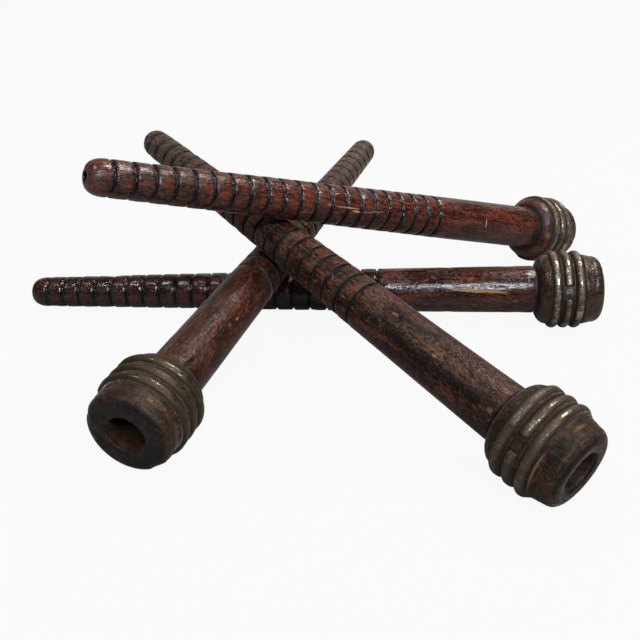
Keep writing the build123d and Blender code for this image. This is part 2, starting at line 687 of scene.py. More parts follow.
    def patches(self, bench: NodeBench, vector: object, pattern: Patches) -> bpy.types.NodeSocket:
        """Lay a pattern of blotches.

        Args:
            bench: The material's bench.
            vector: Bobbin coordinates, in mm.
            pattern: The pattern.

        Returns:
            Its mask.
        """
        if pattern.stretch is not None:
            vector = bench.stretched(vector, pattern.stretch)
        made = self.use(bench, Effect.BLOTCH, Vector=vector, Scale=pattern.scale, Low=pattern.low,
                        High=pattern.high, Speckle=pattern.speckle)
        return made.outputs["Mask"]


@dataclass(frozen=True)
class Mark:
    """A chip, scratch or worn spot on the wood, in mm and degrees from the top."""

    along: float
    turn: float
    half_length: float
    half_width: float
    colour: Colour
    lean: float = 0.0
    ragged: float = 2.6
    broken: float = 0.0
    strength: float = 1.0


PALE_WOOD: Colour = (0.27, 0.135, 0.050, 1)
TAN_SCRATCH: Colour = (0.50, 0.27, 0.14, 1)
OCHRE: Colour = (0.12, 0.064, 0.024, 1)
FLECK: Colour = (0.125, 0.076, 0.038, 1)
RUBBED_BROWN: Colour = (0.115, 0.064, 0.032, 1)
# Near black: real soot stains and black patches, and also painted shade in the groove rims, the pilot
# hole, the bore, the end face and the neck corner.
SOOT_AND_SHADE: Colour = (0.0022, 0.0014, 0.0011, 1)
EMBER: Colour = (0.13, 0.022, 0.010, 1)
DUST: Colour = (0.80, 0.66, 0.58, 1)


class Finish:
    """A finish that knows how to start a material in a bobbin's own coordinates."""

    def start(
        self, name: str, placement: Placement, shelf: EffectShelf,
    ) -> tuple[bpy.types.Material, NodeBench, bpy.types.Node, bpy.types.Node]:
        """Start a material.

        Args:
            name: The material's name.
            placement: Where the bobbin lies.
            shelf: The shader groups.

        Returns:
            The material, its bench, its shader and its place group.
        """
        material = bpy.data.materials.new(name)
        material.use_nodes = True
        bench = NodeBench(material.node_tree)
        shader = material.node_tree.nodes["Principled BSDF"]
        inverse = placement.matrix().inverted()
        centring = bench.node("ShaderNodeMapping", vector_type="POINT")
        centring.inputs["Location"].default_value = inverse.to_translation()
        centring.inputs["Rotation"].default_value = inverse.to_euler("XYZ")
        coordinates = bench.node("ShaderNodeTexCoord")
        bench.give(centring, Vector=coordinates.outputs["Object"])
        place = shelf.use(bench, Effect.PLACE, Metres=centring.outputs["Vector"])
        return material, bench, shader, place


@dataclass(frozen=True)
class VarnishedWood(Finish):
    """Turned hardwood under old varnish, with a grimy head, and dirt and painted shade in the grooves,
    the pilot hole, the bore, the end face and the neck corner.
    """

    slot: str
    dark: Colour
    middle: Colour
    light: Colour
    haze: Colour = (0.078, 0.047, 0.034, 1)
    groove: Colour = (0.0030, 0.0028, 0.0025, 1)
    grime: Colour = (0.0045, 0.0026, 0.0018, 1)
    packed: Colour = (0.034, 0.020, 0.011, 1)
    head: Colour = (0.047, 0.0215, 0.0105, 1)
    bore: Colour = (0.046, 0.0115, 0.006, 1)
    faded: Colour = (0.110, 0.078, 0.062, 1)
    stained: float = 0.5
    scuffed: float = 0.5
    speckled: float = 0.1
    scratched: float = 0.62
    reddened: float = 0.15
    faded_tip: float = 0.0
    banded: float = 0.0
    gloss: float = 0.25
    shine: float = 0.45
    relief: float = 0.7
    dust: float = 0.2
    marks: tuple[Mark, ...] = field(default_factory=tuple)

    def material(
        self, sizes: BobbinSizes, placement: Placement, shelf: EffectShelf,
    ) -> bpy.types.Material:
        """Make the material.

        Args:
            sizes: The bobbin's sizes.
            placement: Where the bobbin lies.
            shelf: The shader groups.

        Returns:
            The new material.
        """
        material, bench, shader, place = self.start(self.slot, placement, shelf)
        vector, along = place.outputs["Vector"], place.outputs["Along"]
        grain = shelf.use(bench, Effect.GRAIN, Vector=vector)
        tone, mottle = grain.outputs["Tone"], grain.outputs["Mottle"]
        wood = bench.mix(bench.ramp(tone, 0.20, 0.50), self.dark, self.middle)
        wood = bench.mix(bench.ramp(tone, 0.50, 0.82), wood, self.light)
        wood = bench.mix(bench.times(grain.outputs["Pore"], 0.7), wood, self.dark)

        stain = shelf.patches(bench, vector, STAIN)
        colour = bench.mix(bench.times(stain, self.stained), wood, SOOT_AND_SHADE)
        scuff = shelf.patches(bench, vector, SCUFF)
        scuff_share = bench.times(scuff, bench.spread(mottle, 0.4, 1.0))
        colour = bench.mix(bench.times(scuff_share, self.scuffed), colour, self.haze)
        speckle = shelf.patches(bench, vector, SPECKLE)
        colour = bench.mix(bench.times(speckle, self.speckled), colour, FLECK)
        scratch = shelf.use(bench, Effect.SCRATCH, Vector=vector, Threshold=self.scratched)
        colour = bench.mix(bench.times(scratch.outputs["Mask"], 0.5), colour, TAN_SCRATCH)

        barrel_end, pilot = sizes.barrel_end / MM, sizes.pilot_radius / MM
        on_bands = bench.ramp(along, barrel_end - 2.0, barrel_end - 7.0)
        colour = bench.mix(bench.times(on_bands, self.banded), colour, SOOT_AND_SHADE)
        fade = bench.times(bench.ramp(along, 80.0, 12.0), bench.spread(mottle, 0.35, 1.0))
        colour = bench.mix(bench.times(fade, self.faded_tip), colour, self.faded)

        groove = shelf.use(
            bench, Effect.GROOVES, Vector=vector, Along=along, First=sizes.first_groove / MM,
            Pitch=sizes.groove_pitch / MM, Half_Width=sizes.groove_width / MM * 0.52, Soft_Edge=1.0,
            Last=(sizes.first_groove + (sizes.grooves - 1) * sizes.groove_pitch) / MM)
        # Dirt and painted shade: the groove rims are darkened towards black and the grooves made near
        # black.
        groove_rim_dirt_and_shade = bench.times(groove.outputs["Edge"], bench.spread(mottle, 0.75, 0.25))
        colour = bench.mix(groove_rim_dirt_and_shade, colour, SOOT_AND_SHADE)
        colour = bench.mix(groove.outputs["Groove"], colour, self.groove)

        # Painted shade: the pilot hole at the tip is darkened towards black.
        pilot_hole_shade = bench.ramp(place.outputs["Radius"], pilot + 1.0, pilot + 0.5)
        pilot_hole_shade = bench.times(pilot_hole_shade, bench.ramp(along, 9.0, 6.0))
        colour = bench.mix(pilot_hole_shade, colour, SOOT_AND_SHADE)

        colour, on_head, dirt_and_shade = self._head_grime_and_shade(bench, shelf, sizes, place, grain, colour)
        bare = None
        for mark in self.marks:
            share = self._mark_share(bench, shelf, place, mottle, mark)
            colour = bench.mix(share, colour, mark.colour)
            bare = share if bare is None else bench.math("MAXIMUM", bare, share)

        roughness = bench.spread(scuff_share, self.gloss, self.gloss + 0.30)
        roughness = bench.math("MULTIPLY_ADD", on_head, 0.10, roughness)
        roughness = bench.math("MULTIPLY_ADD", grain.outputs["Pore"], 0.12, roughness)
        roughness = bench.math("MULTIPLY_ADD", dirt_and_shade, 0.40, roughness, clamp=True)
        roughness = bench.math("MULTIPLY_ADD", bare, 0.25, roughness, clamp=True)
        bench.give(shader, Base_Color=colour)
        bench.give(shader, Roughness=roughness)
        shader.inputs["Specular IOR Level"].default_value = self.shine
        shader.inputs["Sheen Weight"].default_value = self.dust
        shader.inputs["Sheen Roughness"].default_value = 0.22
        shader.inputs["Sheen Tint"].default_value = DUST
        self._bumps(bench, shader, vector, grain, bare)
        return material

    def _head_grime_and_shade(
        self, bench: NodeBench, shelf: EffectShelf, sizes: BobbinSizes, place: bpy.types.Node,
        grain: bpy.types.Node, colour: bpy.types.NodeSocket,
    ) -> tuple[bpy.types.NodeSocket, bpy.types.NodeSocket, bpy.types.NodeSocket]:
        """Lay handling grime over the head, with painted shade in the neck corner, on the end face and
        deep in the bore.

        Args:
            bench: The material's bench.
            shelf: The shader groups.
            sizes: The bobbin's sizes.
            place: The place group.
            grain: The grain group.
            colour: The colour so far.

        Returns:
            The new colour, a mask of the head and a mask of the painted neck-corner shade together with
            the dirt packed by the rings.
        """
        along, radius, vector = (place.outputs[key] for key in ("Along", "Radius", "Vector"))
        mottle = grain.outputs["Mottle"]
        neck, length = sizes.neck / MM, sizes.length / MM
        on_head = bench.ramp(along, neck - 0.2, neck + 1.6)
        patina = shelf.patches(bench, vector, PATINA)
        soiled = bench.times(patina, bench.spread(mottle, 1.0, 0.5))
        head_colour = bench.mix(bench.spread(grain.outputs["Streak"], 0.6, 0.0), self.head, self.grime)
        head_colour = bench.mix(soiled, head_colour, self.grime)
        worn = shelf.patches(bench, vector, WORN)
        head_colour = bench.mix(bench.times(worn, 0.34), head_colour, FLECK)
        lathe = shelf.use(bench, Effect.LATHE, Vector=vector)
        head_colour = bench.mix(bench.times(lathe.outputs["Mask"], 0.45), head_colour, FLECK)
        covered = bench.times(on_head, 1 - self.reddened)
        colour = bench.mix(covered, colour, head_colour)

        seat = sizes.seat_radius / MM
        lip = bench.ramp(radius, seat + 2.0, seat + 0.4)
        lip = bench.times(lip, bench.ramp(along, length - 3.0, length - 0.8))
        lip = bench.times(lip, bench.spread(worn, 0.15, 0.7))
        colour = bench.mix(lip, colour, FLECK)
        # Painted shade with grime patches: the end face is darkened towards black.
        end_face_shade_and_grime = bench.ramp(along, length - 1.2, length - 0.3)
        end_face_shade_and_grime = bench.times(end_face_shade_and_grime, bench.spread(patina, 0.45, 0.95))
        colour = bench.mix(end_face_shade_and_grime, colour, SOOT_AND_SHADE)
        in_bore = bench.times(bench.ramp(radius, seat + 0.3, seat - 0.1), on_head)
        bore_wall_and_shade = bench.mix(soiled, self.bore, self.grime)
        # Painted shade: the bore wall darkens towards black deeper inside.
        bore_wall_and_shade = bench.mix(bench.ramp(along, length - 2.0, length - 12.0), bore_wall_and_shade, SOOT_AND_SHADE)
        colour = bench.mix(bench.times(in_bore, 0.85), colour, bore_wall_and_shade)

        # Painted shade: the corner under the shoulder at the neck is darkened to black.
        neck_corner_shade = bench.times(bench.ramp(along, neck - 1.3, neck - 0.5),
                               bench.ramp(along, neck + 0.7, neck + 0.1))
        neck_corner_shade = bench.times(neck_corner_shade, bench.spread(mottle, 1.0, 0.75))
        inner = length - RingPlace.INNER.value / MM - 2.0
        outer = length - RingPlace.OUTER.value / MM + 2.0
        by_rings = bench.times(bench.ramp(along, inner, inner + 0.5),
                              bench.ramp(along, outer, outer - 0.5))
        by_rings = bench.times(by_rings, bench.spread(mottle, 0.85, 0.35))
        # The neck corner gets painted shade, the seats by the rings packed dirt.
        dirt_and_shade = bench.math("MAXIMUM", neck_corner_shade, bench.times(by_rings, 0.8))
        return bench.mix(dirt_and_shade, colour, bench.mix(by_rings, SOOT_AND_SHADE, self.packed)), on_head, dirt_and_shade

    def _mark_share(
        self, bench: NodeBench, shelf: EffectShelf, place: bpy.types.Node,
        mottle: bpy.types.NodeSocket, mark: Mark,
    ) -> bpy.types.NodeSocket:
        """Find how much of a mark shows at each point.

        Args:
            bench: The material's bench.
            shelf: The shader groups.
            place: The place group.
            mottle: The fine mottle, which breaks some marks up.
            mark: The mark.

        Returns:
            The share, from 0 to 1.
        """
        made = shelf.use(
            bench, Effect.MARK, Vector=place.outputs["Vector"], Along=place.outputs["Along"],
            Turn=place.outputs["Turn"], Radius=place.outputs["Radius"], At_Along=mark.along,
            At_Turn=math.radians(mark.turn), Lean=mark.lean, Half_Length=mark.half_length,
            Half_Width=mark.half_width, Ragged=mark.ragged)
        shown = bench.times(made.outputs["Mask"], mark.strength)
        if not mark.broken:
            return shown
        return bench.times(shown, bench.spread(mottle, 1 - mark.broken, 1.0))

    def _bumps(
        self, bench: NodeBench, shader: bpy.types.Node, vector: bpy.types.NodeSocket,
        grain: bpy.types.Node, bare: bpy.types.NodeSocket,
    ) -> None:
        """Raise the grain, ripple the varnish and sink the bare marks.

        Args:
            bench: The material's bench.
            shader: Its shader.
            vector: Bobbin coordinates, in mm.
            grain: The grain group.
            bare: A mask of the marks.
        """
        ripple = bench.noise(bench.stretched(vector, (0.7, 1.2, 1.2)), 1.0, 2.5, 0.55, 0.3)
        crackle = bench.noise(bench.stretched(vector, (1.1, 1.9, 1.9)), 1.0, 1.0, 0.5)
        height = bench.math("MULTIPLY_ADD", crackle, 0.55, ripple)
        height = bench.math("MULTIPLY_ADD", grain.outputs["Streak"], 0.12, height)
        height = bench.math("MULTIPLY_ADD", grain.outputs["Pore"], -0.20, height)
        height = bench.math("MULTIPLY_ADD", bare, -0.25, height)
        bump = bench.node("ShaderNodeBump")
        bump.inputs["Strength"].default_value = self.relief
        bump.inputs["Distance"].default_value = 0.25 * MM
        bench.give(bump, Height=height)
        bench.give(shader, Normal=bump.outputs["Normal"])


@dataclass(frozen=True)
class TarnishedWire(Finish):
    """Old steel wire: bright where it is rubbed, brown and dull down by the wood."""

    slot: str = "ring_steel"
    bright: Colour = (0.50, 0.44, 0.36, 1)
    dull: Colour = (0.080, 0.049, 0.027, 1)
    crust: Colour = (0.032, 0.017, 0.008, 1)
    tarnished: float = 0.8
    caked: float = 0.8
    buried: float = 0.2
    relief: float = 0.5

    def material(
        self, name: str, sizes: BobbinSizes, placement: Placement, shelf: EffectShelf,
    ) -> bpy.types.Material:
        """Make the material.

        Args:
            name: The bobbin that the rings are on.
            sizes: The shared sizes.
            placement: Where the bobbin lies.
            shelf: The shader groups.

        Returns:
            The new material.
        """
        material, bench, shader, place = self.start(f"{self.slot}_{name}", placement, shelf)
        vector, radius = place.outputs["Vector"], place.outputs["Radius"]
        top = (sizes.ring_radius + sizes.wire_radius) / MM
        rubbed = bench.ramp(radius, top - 0.7, top - 0.15)
        film = shelf.patches(bench, vector, FILM)
        pits = shelf.patches(bench, vector, PITS)
        film_share = bench.times(film, self.tarnished)
        shine = bench.math("SUBTRACT", rubbed, film_share, clamp=True)
        colour = bench.mix(shine, self.dull, self.bright)
        low = bench.ramp(radius, top - 0.7, top - 1.2)
        crusted = bench.math("MAXIMUM", low, bench.times(pits, self.caked))
        crusted = bench.math("MAXIMUM", crusted, bench.times(film, self.buried))
        colour = bench.mix(crusted, colour, self.crust)
        metallic = bench.math("MULTIPLY_ADD", crusted, -0.75, 0.95, clamp=True)
        roughness = bench.math("MULTIPLY_ADD", shine, -0.20, 0.42)
        roughness = bench.math("MULTIPLY_ADD", crusted, 0.30, roughness, clamp=True)
        bench.give(shader, Base_Color=colour)
        bench.give(shader, Metallic=metallic)
        bench.give(shader, Roughness=roughness)
        dents = bench.noise(vector, 0.9, 4.0, 0.6)
        height = bench.math("MULTIPLY_ADD", pits, -0.35, dents)
        bump = bench.node("ShaderNodeBump")
        bump.inputs["Strength"].default_value = self.relief
        bump.inputs["Distance"].default_value = 0.12 * MM
        bench.give(bump, Height=height)
        bench.give(shader, Normal=bump.outputs["Normal"])
        return material


# --------------------------------------------------------------------------- bobbins


@dataclass
class Bobbin:
    """One bobbin: its turned wood and its three split rings."""

    name: str
    finish: VarnishedWood
    wire: TarnishedWire
    openings: dict[RingPlace, float]
    seed: float
    silt: float = 0.0
    sizes: BobbinSizes = field(default_factory=BobbinSizes)
    round_steps: int = 112

    def build(self, shelf: EffectShelf) -> None:
        """Turn the wood and the rings, dress them and put them on the bobbin's body.

        Args:
            shelf: The shader groups.
        """
        placement = Placement.of(self.name, self.sizes)
        wood = self._wood(placement)
        wood.data.materials.append(self.finish.material(self.sizes, placement, shelf))
        self._hand_over(wood, f"{self.name}_wood")
        wire = self.wire.material(self.name, self.sizes, placement, shelf)
        for place in RingPlace:
            ring = self._ring(place, placement)
            ring.data.materials.append(wire)
            self._hand_over(ring, f"{self.name}_ring_{place.name.lower()}")

    def _hand_over(self, piece: bpy.types.Object, node: str) -> None:
        """Let a piece stand for its node and ride on the bobbin.

        Args:
            piece: The piece.
            node: The node it stands for.
        """
        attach(piece, self.name)
        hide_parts(node)
        LOG.info("%s: %d faces", piece.name, len(piece.data.polygons))

    def _wood(self, placement: Placement) -> bpy.types.Object:
        """The turned body, worn and in place.

        Args:
            placement: Where the bobbin lies.

        Returns:
            The wood.
        """
        sizes = self.sizes
        outline = Outline(0, sizes.pilot_radius)
        outline.to(0, sizes.nose_flat, 2)
        outline.quarter(sizes.nose_length, sizes.shank_radius(sizes.nose_length), 10, outward_first=True)
        self._barrel(outline)
        outline.to(sizes.neck - 1.3 * MM, sizes.neck_radius - 0.05 * MM, 22)
        self._head(outline)
        self._bore(outline)
        solid = outline.spun(self.round_steps)
        reshape(solid, self._wear)
        return finished_object(f"{self.name}_turned_wood", solid, placement.matrix())

    def _barrel(self, outline: Outline) -> None:
        """Draw the bands between the yarn grooves: high at the tip side, and crowned.

        Args:
            outline: The profile so far.
        """
        sizes = self.sizes
        half = sizes.groove_width / 2
        tilt = sizes.band_tilt
        for index in range(sizes.grooves):
            middle = sizes.first_groove + index * sizes.groove_pitch
            before = sizes.shank_radius(middle - half)
            after = sizes.shank_radius(middle + half)
            bottom = sizes.shank_radius(middle) - sizes.groove_depth
            outline.bow(middle - half, before - tilt, sizes.band_crown, 6)
            outline.to(middle - 0.72 * half, before - 0.22 * MM)
            outline.to(middle - 0.35 * half, bottom + 0.10 * MM)
            outline.to(middle, bottom)
            outline.to(middle + 0.35 * half, bottom + 0.10 * MM)
            outline.to(middle + 0.72 * half, after - 0.16 * MM)
            outline.to(middle + half, after + 0.5 * tilt)

    def _head(self, outline: Outline) -> None:
        """Draw the undercut, the shoulder, the ring seats and the collar.

        Args:
            outline: The profile so far.
        """
        sizes = self.sizes
        outline.to(sizes.neck - 0.55 * MM, sizes.neck_radius - 0.45 * MM)
        outline.to(sizes.neck - 0.05 * MM, sizes.neck_radius - 0.35 * MM)
        outline.quarter(sizes.neck + sizes.shoulder_length, sizes.head_radius, 9, outward_first=True)
        for place in sorted(RingPlace, key=lambda ring: -ring.value):
            outline.hollow(sizes.length - place.value, sizes.ring_radius,
                           sizes.wire_radius + sizes.ring_seat_play, sizes.head_radius + self.silt, 10)
        outline.to(sizes.length - 5.9 * MM, sizes.head_radius - 0.05 * MM)
        outline.to(sizes.length - sizes.end_round - 0.75 * MM, sizes.collar_end_radius + 0.12 * MM, 4)
        outline.to(sizes.length - sizes.end_round - 0.55 * MM, sizes.collar_end_radius)
        outline.to(sizes.length - sizes.end_round, sizes.collar_end_radius)
        outline.quarter(sizes.length, sizes.collar_end_radius - sizes.end_round, 8, outward_first=False)

    def _bore(self, outline: Outline) -> None:
        """Draw the dished end face, the spindle seat and the pilot hole.

        Args:
            outline: The profile so far.
        """
        sizes = self.sizes
        outline.to(sizes.length - sizes.dish, sizes.seat_radius + sizes.lip, 3)
        outline.quarter(sizes.length - sizes.dish - sizes.lip, sizes.seat_radius, 6, outward_first=True)
        outline.to(sizes.length - sizes.seat_depth, sizes.seat_radius, 12)
        outline.to(sizes.length - sizes.seat_depth - 3 * MM, sizes.pilot_radius, 3)
        outline.to(0.4 * MM, sizes.pilot_radius, 24)

    def _wear(self, point: Vector, radius: float) -> float:
        """Radial wear of the wood at a vertex.

        Args:
            point: The vertex, in bobbin coordinates.
            radius: Its distance from the axis.

        Returns:
            How far it moves out from the axis, which is inwards nearly everywhere.
        """
        sizes = self.sizes
        inside = radius < sizes.seat_radius + 0.5 * MM and point.x > sizes.barrel_end
        if inside or radius < sizes.nose_flat + 0.1 * MM:
            return 0.0
        at = point / MM + Vector((self.seed, 2 * self.seed, -self.seed))
        slow = noise.noise(at * 0.045) * 0.05 - 0.05
        dent = max(noise.noise(at * 0.23) - 0.30, 0.0) * -0.55
        nick = max(noise.noise(Vector((at.x * 0.9, at.y * 0.55, at.z * 0.55))) - 0.34, 0.0) * -0.9
        if point.x > sizes.neck:
            dent *= 1.8
            slow *= 1.4
        return (slow + dent + nick) * MM + self._silted_opening(point, radius)

    def _silted_opening(self, point: Vector, radius: float) -> float:
        """How far packed dirt fills a ring seat where its ring is open.

        Args:
            point: The vertex, in bobbin coordinates.
            radius: Its distance from the axis.

        Returns:
            How far the vertex moves out.
        """
        sizes = self.sizes
        for place, opening in self.openings.items():
            beside = abs(point.x - sizes.length + place.value) > sizes.wire_radius
            if beside or radius < sizes.seat_radius + 2 * MM:
                continue
            inside = sizes.ring_opening / 2 + math.radians(6) - apart(turn_of(point), opening)
            share = min(max(inside / math.radians(4), 0.0), 1.0)
            lump = noise.noise(point / MM * 0.8) * 0.35
            return max(sizes.ring_radius + (0.75 + lump) * MM - radius, 0.0) * share
        return 0.0

    def _ring(self, place: RingPlace, placement: Placement) -> bpy.types.Object:
        """One split ring, with softened ends and a slightly uneven wire.

        Args:
            place: Which ring.
            placement: Where the bobbin lies.

        Returns:
            The ring.
        """
        sizes = self.sizes
        middle = sizes.length - place.value
        opening = self.openings[place]
        solid = bmesh.new()
        bmesh.ops.create_circle(solid, cap_ends=True, segments=WIRE_SIDES,
                                radius=sizes.wire_radius - 0.02 * MM)
        bmesh.ops.rotate(solid, verts=solid.verts[:], cent=(0, 0, 0),
                         matrix=Matrix.Rotation(math.pi / 2, 3, "X"))
        bmesh.ops.translate(solid, verts=solid.verts[:], vec=(middle, 0, sizes.ring_radius))
        bmesh.ops.rotate(solid, verts=solid.verts[:], cent=(0, 0, 0),
                         matrix=Matrix.Rotation(opening + sizes.ring_opening / 2, 3, "X"))
        bmesh.ops.spin(
            solid, geom=solid.verts[:] + solid.edges[:] + solid.faces[:], cent=(0, 0, 0),
            axis=(1, 0, 0), dvec=(0, 0, 0), angle=FULL_TURN - sizes.ring_opening, steps=WIRE_STEPS,
        )
        bmesh.ops.recalc_face_normals(solid, faces=solid.faces[:])
        caps = [face for face in solid.faces if len(face.verts) > 4]
        rims = [edge for face in caps for edge in face.edges]
        bmesh.ops.bevel(solid, geom=rims, offset=sizes.ring_end_round, segments=3,
                        affect="EDGES", profile=0.5, material=-1)
        seed = self.seed + 100 * place.value / MM
        reshape(solid, lambda point, radius: self._wire_wear(point, radius, seed))
        for vertex in solid.verts:
            sway = noise.noise(Vector((seed, vertex.co.y, vertex.co.z)) * 90) * 0.22 * MM
            vertex.co.x += sway
        name = f"{self.name}_wire_ring_{place.name.lower()}"
        return finished_object(name, solid, placement.matrix())

    def _wire_wear(self, point: Vector, radius: float, seed: float) -> float:
        """Radial wear of a ring: flats rubbed on its outside, and a bent line.

        Args:
            point: The vertex, in bobbin coordinates.
            radius: Its distance from the axis.
            seed: Shifts the noise.

        Returns:
            How far the vertex moves out, which is inwards nearly everywhere.
        """
        top = self.sizes.ring_radius + self.sizes.wire_radius
        at = point / MM + Vector((seed, -seed, seed))
        bend = noise.noise(at * 0.10) * 0.07 - 0.07
        flat = max(noise.noise(at * 0.22) - 0.05, 0.0) * 0.35
        high = max((radius - top) / MM + flat, 0.0)
        return (bend - high) * MM


# --------------------------------------------------------------------------- studio


@dataclass(frozen=True)
class Lamp:
    """A softbox that faces the middle of the stack, in metres and watts."""

    name: str
    place: tuple[float, float, float]
    size: tuple[float, float]
    power: float
    colour: tuple[float, float, float]

    def hang(self) -> None:
        """Put the softbox in the scene, unseen by the camera."""
        light = bpy.data.lights.new(self.name, "AREA")
        light.shape = "RECTANGLE"
        light.size, light.size_y = self.size
        light.energy = self.power
        light.color = self.colour
        lamp = bpy.data.objects.new(self.name, light)
        lamp.location = self.place
        lamp.rotation_mode = "QUATERNION"
        lamp.rotation_quaternion = (-Vector(self.place)).to_track_quat("-Z", "Y")
        lamp.visible_camera = False
        bpy.context.scene.collection.objects.link(lamp)


LAMPS = (
    Lamp("window_strip", (0.22, -0.95, 0.90), (0.75, 0.04), 15.0, (0.80, 0.90, 1.0)),
    Lamp("overhead_right", (0.42, 0.30, 0.95), (0.26, 0.26), 8.5, (1.0, 0.95, 0.90)),
    Lamp("overhead_left", (-0.42, -0.18, 0.95), (0.08, 0.08), 1.6, (0.93, 0.96, 1.0)),
    Lamp("back_wall", (0.0, 2.2, 0.55), (3.2, 0.9), 6.0, (1.0, 0.92, 0.84)),
)


@dataclass
class Studio:
    """A plain pale floor, soft lights and the camera."""

    camera_at: Vector = field(default_factory=lambda: Vector((3.7, -242.4, 126.5)) * MM)
    look_down: float = math.radians(24.88)
    camera_roll: float = math.radians(0.2)
    lens: float = 42.94
    shift: tuple[float, float] = (-0.0168, -0.0528)
    floor_size: float = 12.0
    floor_grey: Colour = (0.22, 0.22, 0.22, 1)
    floor_glow: float = 0.93
    ceiling: float = 0.62
    ambient: float = 0.04
    reflected: float = 0.2

    def build(self) -> None:
        """Set up the whole studio."""
        bpy.context.scene.view_settings.view_transform = "Standard"
        self._floor()
        self._world()
        for lamp in LAMPS:
            lamp.hang()
        self._camera()

    def _floor(self) -> None:
        """A wide floor that looks near white and still takes soft shadows."""
        solid = bmesh.new()
        bmesh.ops.create_grid(solid, x_segments=4, y_segments=4, size=self.floor_size)
        mesh = bpy.data.meshes.new("studio_floor")
        solid.to_mesh(mesh)
        solid.free()
        floor = bpy.data.objects.new("studio_floor", mesh)
        bpy.context.scene.collection.objects.link(floor)
        material = bpy.data.materials.new("pale_paper")
        material.use_nodes = True
        bench = NodeBench(material.node_tree)
        shader = material.node_tree.nodes["Principled BSDF"]
        shader.inputs["Base Color"].default_value = self.floor_grey
        shader.inputs["Roughness"].default_value = 0.95
        shader.inputs["Specular IOR Level"].default_value = 0.1
        glow = bench.node("ShaderNodeEmission")
        path = bench.node("ShaderNodeLightPath")
        seen = bench.times(path.outputs["Is Camera Ray"], self.floor_glow)
        paper = bench.node("ShaderNodeMixShader")
        bench.feed(paper.inputs[0], seen)
        bench.feed(paper.inputs[1], shader.outputs["BSDF"])
        bench.feed(paper.inputs[2], glow.outputs["Emission"])
        bench.give(material.node_tree.nodes["Material Output"], Surface=paper.outputs["Shader"])
        mesh.materials.append(material)

    def _world(self) -> None:
        """Soft light from above, dim in reflections and white behind the stack."""
        world = bpy.data.worlds.new("pale_room")
        world.use_nodes = True
        bench = NodeBench(world.node_tree)
        direction = bench.node("ShaderNodeSeparateXYZ")
        bench.feed(direction.inputs[0], bench.node("ShaderNodeTexCoord").outputs["Generated"])
        above = bench.ramp(direction.outputs["Z"], -0.1, 1.0)
        ceiling = bench.math("MULTIPLY_ADD", above, self.ceiling, self.ambient)
        path = bench.node("ShaderNodeLightPath")
        kept = bench.math("MULTIPLY_ADD", path.outputs["Is Glossy Ray"], self.reflected - 1, 1.0)
        lit = bench.times(ceiling, kept)
        strength = bench.math("MAXIMUM", lit, path.outputs["Is Camera Ray"])
        background = world.node_tree.nodes["Background"]
        background.inputs["Color"].default_value = (1, 1, 1, 1)
        bench.give(background, Strength=strength)
        bpy.context.scene.world = world

    def _camera(self) -> None:
        """The main camera."""
        data = bpy.data.cameras.new("main_camera")
        data.lens = self.lens
        data.sensor_width = 36
        data.shift_x, data.shift_y = self.shift
        data.clip_start = 0.01
        camera = bpy.data.objects.new("main_camera", data)
        tilt = Matrix.Rotation(math.pi / 2 - self.look_down, 4, "X")
        roll = Matrix.Rotation(self.camera_roll, 4, "Z")
        camera.matrix_world = Matrix.Translation(self.camera_at) @ tilt @ roll
        bpy.context.scene.collection.objects.link(camera)
        bpy.context.scene.camera = camera


# --------------------------------------------------------------------------- the stack


def degrees_by_place(outer: float, middle: float, inner: float) -> dict[RingPlace, float]:
    """Ring openings by ring, from angles in degrees round the axis from the top.

    Args:
        outer: Angle of the outer ring's opening.
        middle: Angle of the middle one's.
        inner: Angle of the inner one's.

    Returns:
        The angles in radians.
    """
    return {
        RingPlace.OUTER: math.radians(outer),
        RingPlace.MIDDLE: math.radians(middle),
        RingPlace.INNER: math.radians(inner),
    }


def black_brown_wood() -> VarnishedWood:
    """The base bobbin: nearly black, glossy, with one long pale chip.

    Returns:
        The finish.
    """
    return VarnishedWood(
        slot="wood_black_brown",
        dark=(0.007, 0.0020, 0.0016, 1), middle=(0.046, 0.0090, 0.0060, 1),
        light=(0.092, 0.026, 0.015, 1),
        stained=0.55, scuffed=0.30, speckled=0.35, reddened=0.30, gloss=0.07, relief=0.34, dust=0.10,
        banded=0.45,
        marks=(
            Mark(162, 69, 9.8, 0.72, PALE_WOOD, lean=0.055, ragged=1.6),
            Mark(173.6, 94.7, 0.9, 0.5, OCHRE, strength=0.8),
            Mark(145.8, 31.2, 0.8, 0.4, OCHRE, strength=0.7),
            Mark(178.3, 39.7, 0.22, 1.6, TAN_SCRATCH, strength=0.4, ragged=1.5),
        ),
    )


def russet_wood() -> VarnishedWood:
    """The left bobbin: orange-brown and matt along its edges.

    Returns:
        The finish.
    """
    return VarnishedWood(
        slot="wood_russet",
        dark=(0.009, 0.0025, 0.0017, 1), middle=(0.033, 0.0062, 0.0030, 1),
        light=(0.110, 0.025, 0.008, 1),
        stained=0.66, scuffed=0.34, speckled=0.50, reddened=0.22, faded_tip=0.8, gloss=0.34, shine=0.25,
        relief=0.6, dust=0.22,
        marks=(
            Mark(151.5, -62.0, 0.7, 0.35, PALE_WOOD),
            Mark(156.0, -59.2, 1.0, 0.5, OCHRE, strength=0.8),
            Mark(199.1, -33.0, 0.7, 0.9, OCHRE),
            Mark(200.8, 8.0, 1.1, 4.5, SOOT_AND_SHADE, ragged=3.0, broken=0.3, strength=0.8),
            Mark(198.4, -45.0, 0.9, 4.0, FLECK, ragged=3.2, broken=0.9, strength=0.55),
        ),
    )


